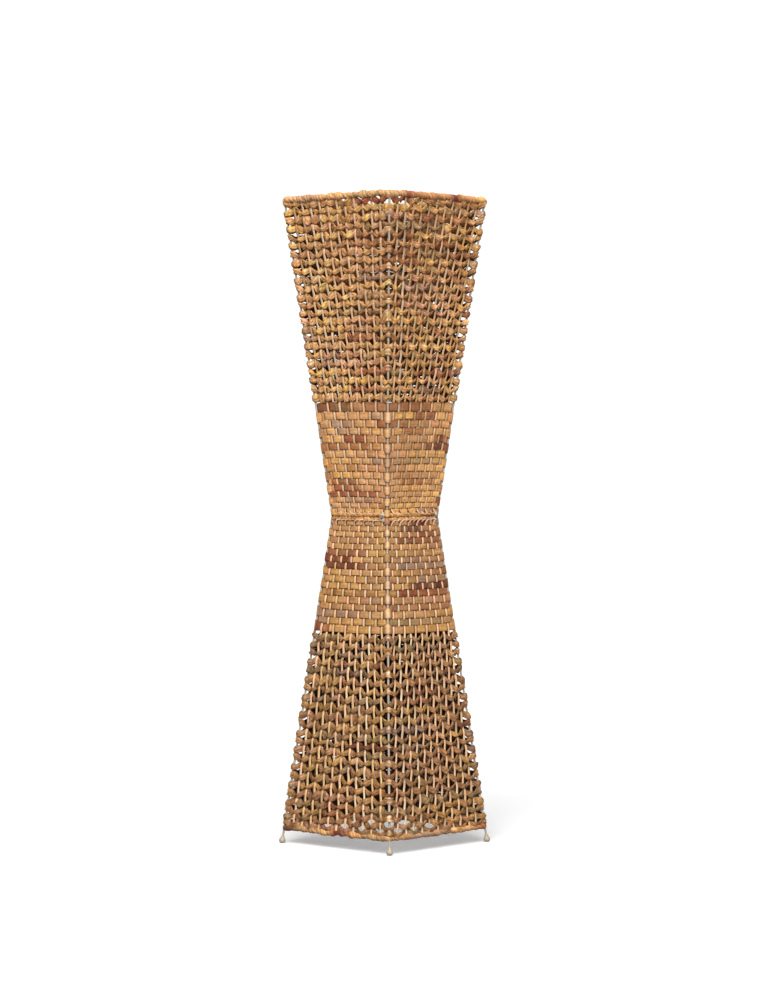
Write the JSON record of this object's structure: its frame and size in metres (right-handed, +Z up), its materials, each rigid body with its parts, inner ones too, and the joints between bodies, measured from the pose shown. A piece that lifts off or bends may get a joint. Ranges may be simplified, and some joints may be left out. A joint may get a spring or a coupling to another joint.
{
  "type": "woven floor lamp",
  "caption": "Tall hourglass floor lamp: plaited leaf baskets on wire frames joined at a narrow waist, on ball feet, with a lampholder and bulb at the waist.",
  "frame": {"origin": "on the floor, at the centre of the four feet", "axes": "+Z up; the four faces look along X and Y, so the corners lie on the diagonals"},
  "size_m": [0.2818, 0.2818, 1.2],
  "materials": {
    "frame_paint": "matt putty-grey paint",
    "tie_nylon": "natural nylon",
    "woven_fibre": "dry plaited leaf strip, straw to red-brown",
    "stakes": "pale split cane",
    "winding_leaf": "wound leaf strip",
    "plated_steel": "zinc plated",
    "holder_metal": "satin black",
    "sleeve_card": "fish-paper card",
    "black_plastic": "moulded black",
    "brass_parts": "plain brass",
    "bulb_black_glass": "gloss black",
    "bulb_cap_metal": "nickel-coloured screw cap",
    "bulb_white_plastic": "white moulded",
    "circuit_board": "white solder mask",
    "bulb_opal": "opal polycarbonate"
  },
  "bodies": {
    "lamp": {"leg_front": "frame_paint", "post_front": "frame_paint", "foot_front": "frame_paint", "leg_right": "frame_paint", "post_right": "frame_paint", "foot_right": "frame_paint", "leg_back": "frame_paint", "post_back": "frame_paint", "foot_back": "frame_paint", "leg_left": "frame_paint", "post_left": "frame_paint", "foot_left": "frame_paint", "hem_rails": "frame_paint", "lower_waist_rails": "frame_paint", "upper_waist_rails": "frame_paint", "rim_rails": "frame_paint", "waist_ties": "tie_nylon", "lower_open_weave": "woven_fibre", "lower_close_weave": "woven_fibre", "upper_close_weave": "woven_fibre", "upper_open_weave": "woven_fibre", "lower_stakes": "stakes", "upper_stakes": "stakes", "hem_winding": "winding_leaf", "lower_waist_winding": "winding_leaf", "upper_waist_winding": "winding_leaf", "rim_winding": "winding_leaf", "lamp_strap": "frame_paint", "nipple": "plated_steel", "nipple_nuts": "plated_steel", "cable_bush": "black_plastic", "holder_cap": "holder_metal", "holder_shell": "holder_metal", "insulating_sleeve": "sleeve_card", "switch_base": "black_plastic", "terminal_screws": "brass_parts", "screw_shell": "brass_parts", "centre_contact": "brass_parts"},
    "bulb": {"bulb_tip": "plated_steel", "bulb_insulator": "bulb_black_glass", "bulb_cap": "bulb_cap_metal", "bulb_housing": "bulb_white_plastic", "led_board": "circuit_board", "bulb_dome": "bulb_opal"},
    "switch": {"switch_spindle": "plated_steel", "switch_knob": "black_plastic"}
  },
  "joints": [
    {"name": "bulb_lift", "type": "slide", "parent": "lamp", "child": "bulb", "axis": [0, 0, 1], "range_m": [0, 0.06]},
    {"name": "switch_turn", "type": "hinge", "parent": "lamp", "child": "switch", "pos_m": [0.02, 0, 0.642], "axis": [1, 0, 0], "continuous": true}
  ]
}
